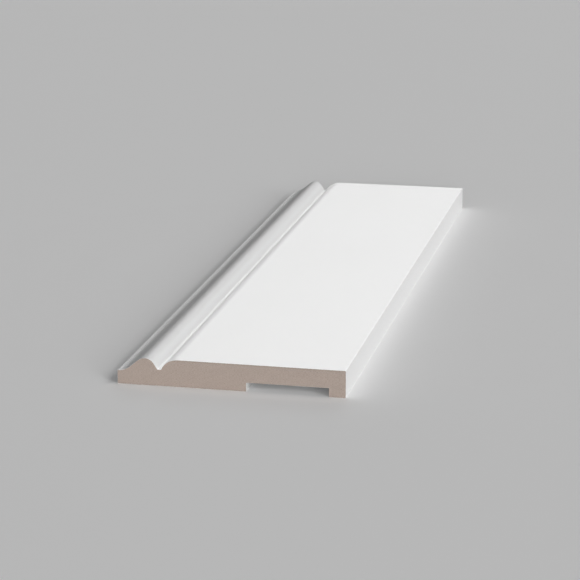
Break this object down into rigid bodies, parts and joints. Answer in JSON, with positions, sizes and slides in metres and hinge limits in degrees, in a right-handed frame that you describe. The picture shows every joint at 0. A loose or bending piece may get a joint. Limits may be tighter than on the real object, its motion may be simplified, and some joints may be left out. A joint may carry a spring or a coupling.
{
  "type": "skirting board",
  "caption": "Straight length of white moulded skirting board with a cove and bead along its top edge, square floor edge, bare cut ends and a channel along its back.",
  "frame": {"origin": "middle of the back of the board, on the surface that it lies on or the wall that it is fixed to", "axes": "+X across the board from its moulded top edge to its square floor edge, +Y along its length away from the end nearest the camera in the picture, +Z out of its painted face"},
  "size_m": [0.15, 0.55, 0.018],
  "materials": {
    "white_paint": "satin"
  },
  "bodies": {
    "root": {"skirting_board": "white_paint"}
  },
  "joints": []
}
